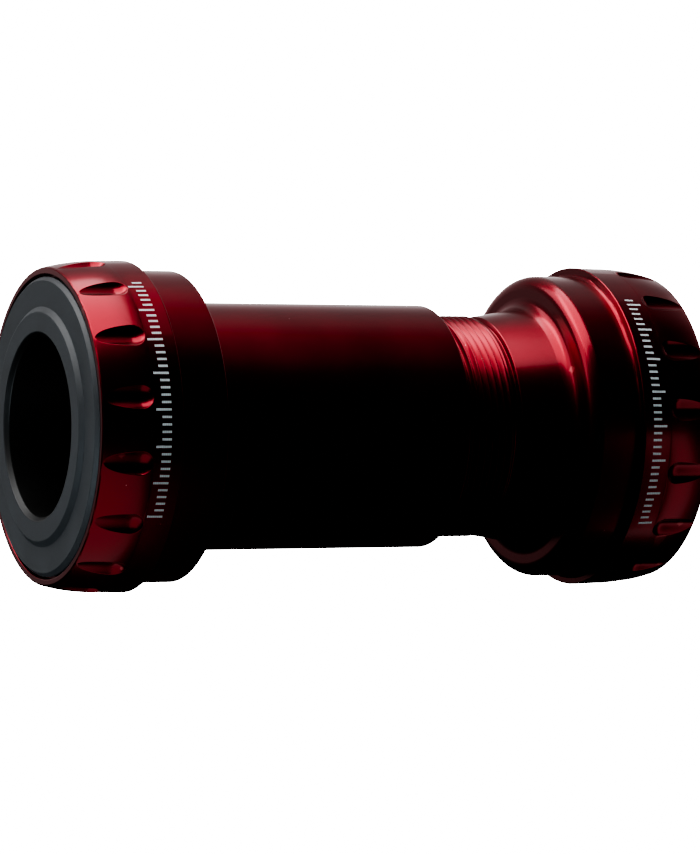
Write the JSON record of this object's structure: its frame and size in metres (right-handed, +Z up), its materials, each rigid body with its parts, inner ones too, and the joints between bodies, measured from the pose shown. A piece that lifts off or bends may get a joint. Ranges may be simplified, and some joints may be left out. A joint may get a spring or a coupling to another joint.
{
  "type": "bottom bracket",
  "caption": "Outboard bottom bracket whose two cups screw into each other through a 42 mm bore frame shell, each holding a ball bearing for a 24 mm crank spindle.",
  "frame": {"origin": "centre of the whole assembly, on the spindle axis and midway between the two flanges", "axes": "+X along the spindle axis, from the cup with the long sleeve to the cup with the male thread; +Z up as mounted in a bicycle; +Y completes the right-handed frame"},
  "size_m": [0.092, 0.0446, 0.0446],
  "materials": {
    "red_anodised": "deep red anodised, satin",
    "black_plastic": "charcoal moulded plastic",
    "black_rubber": "matt nitrile rubber",
    "bearing_steel": "ground bearing steel",
    "cage_nylon": "moulded nylon"
  },
  "bodies": {
    "sleeve_cup_unit": {"sleeve_cup": "red_anodised", "sleeve_side_outer_race": "bearing_steel", "sleeve_side_inboard_bearing_seal": "black_rubber", "sleeve_side_outboard_bearing_seal": "black_rubber", "sleeve_side_cover_seal": "black_rubber"},
    "mouth_seal": {"mouth_seal_ring": "black_rubber"},
    "thread_cup_unit": {"thread_cup": "red_anodised", "thread_side_outer_race": "bearing_steel", "thread_side_inboard_bearing_seal": "black_rubber", "thread_side_outboard_bearing_seal": "black_rubber", "thread_side_cover_seal": "black_rubber"},
    "sleeve_side_spindle_ring": {"sleeve_side_inner_race": "bearing_steel", "sleeve_side_dust_cover": "black_plastic"},
    "sleeve_side_ball_set": {"sleeve_side_ball_cage": "cage_nylon", "sleeve_side_ball_01": "bearing_steel", "sleeve_side_ball_02": "bearing_steel", "sleeve_side_ball_03": "bearing_steel", "sleeve_side_ball_04": "bearing_steel", "sleeve_side_ball_05": "bearing_steel", "sleeve_side_ball_06": "bearing_steel", "sleeve_side_ball_07": "bearing_steel", "sleeve_side_ball_08": "bearing_steel", "sleeve_side_ball_09": "bearing_steel", "sleeve_side_ball_10": "bearing_steel", "sleeve_side_ball_11": "bearing_steel", "sleeve_side_ball_12": "bearing_steel", "sleeve_side_ball_13": "bearing_steel", "sleeve_side_ball_14": "bearing_steel", "sleeve_side_ball_15": "bearing_steel", "sleeve_side_ball_16": "bearing_steel", "sleeve_side_ball_17": "bearing_steel"},
    "thread_side_spindle_ring": {"thread_side_inner_race": "bearing_steel", "thread_side_dust_cover": "black_plastic"},
    "thread_side_ball_set": {"thread_side_ball_cage": "cage_nylon", "thread_side_ball_01": "bearing_steel", "thread_side_ball_02": "bearing_steel", "thread_side_ball_03": "bearing_steel", "thread_side_ball_04": "bearing_steel", "thread_side_ball_05": "bearing_steel", "thread_side_ball_06": "bearing_steel", "thread_side_ball_07": "bearing_steel", "thread_side_ball_08": "bearing_steel", "thread_side_ball_09": "bearing_steel", "thread_side_ball_10": "bearing_steel", "thread_side_ball_11": "bearing_steel", "thread_side_ball_12": "bearing_steel", "thread_side_ball_13": "bearing_steel", "thread_side_ball_14": "bearing_steel", "thread_side_ball_15": "bearing_steel", "thread_side_ball_16": "bearing_steel", "thread_side_ball_17": "bearing_steel"}
  },
  "joints": [
    {"name": "cup_turn", "type": "hinge", "parent": "sleeve_cup_unit", "child": "mouth_seal", "pos_m": [0.0089, 0, 0], "axis": [1, 0, 0], "range_deg": [-2700, 2016]},
    {"name": "cup_travel", "type": "slide", "parent": "mouth_seal", "child": "thread_cup_unit", "axis": [1, 0, 0], "range_m": [-0.0076, 0.0057]},
    {"name": "sleeve_side_bearing_spin", "type": "hinge", "parent": "sleeve_cup_unit", "child": "sleeve_side_spindle_ring", "pos_m": [-0.0395, 0, 0], "axis": [1, 0, 0], "continuous": true},
    {"name": "sleeve_side_cage_spin", "type": "hinge", "parent": "sleeve_cup_unit", "child": "sleeve_side_ball_set", "pos_m": [-0.0395, 0, 0], "axis": [1, 0, 0], "continuous": true},
    {"name": "thread_side_bearing_spin", "type": "hinge", "parent": "thread_cup_unit", "child": "thread_side_spindle_ring", "pos_m": [0.0395, 0, 0], "axis": [1, 0, 0], "continuous": true},
    {"name": "thread_side_cage_spin", "type": "hinge", "parent": "thread_cup_unit", "child": "thread_side_ball_set", "pos_m": [0.0395, 0, 0], "axis": [1, 0, 0], "continuous": true}
  ],
  "couplings": [
    {"joint": "cup_travel", "follows": "cup_turn", "m_per_rad": 0.00015915},
    {"joint": "sleeve_side_cage_spin", "follows": "sleeve_side_bearing_spin", "ratio": 0.4435},
    {"joint": "thread_side_cage_spin", "follows": "thread_side_bearing_spin", "ratio": 0.4435}
  ]
}
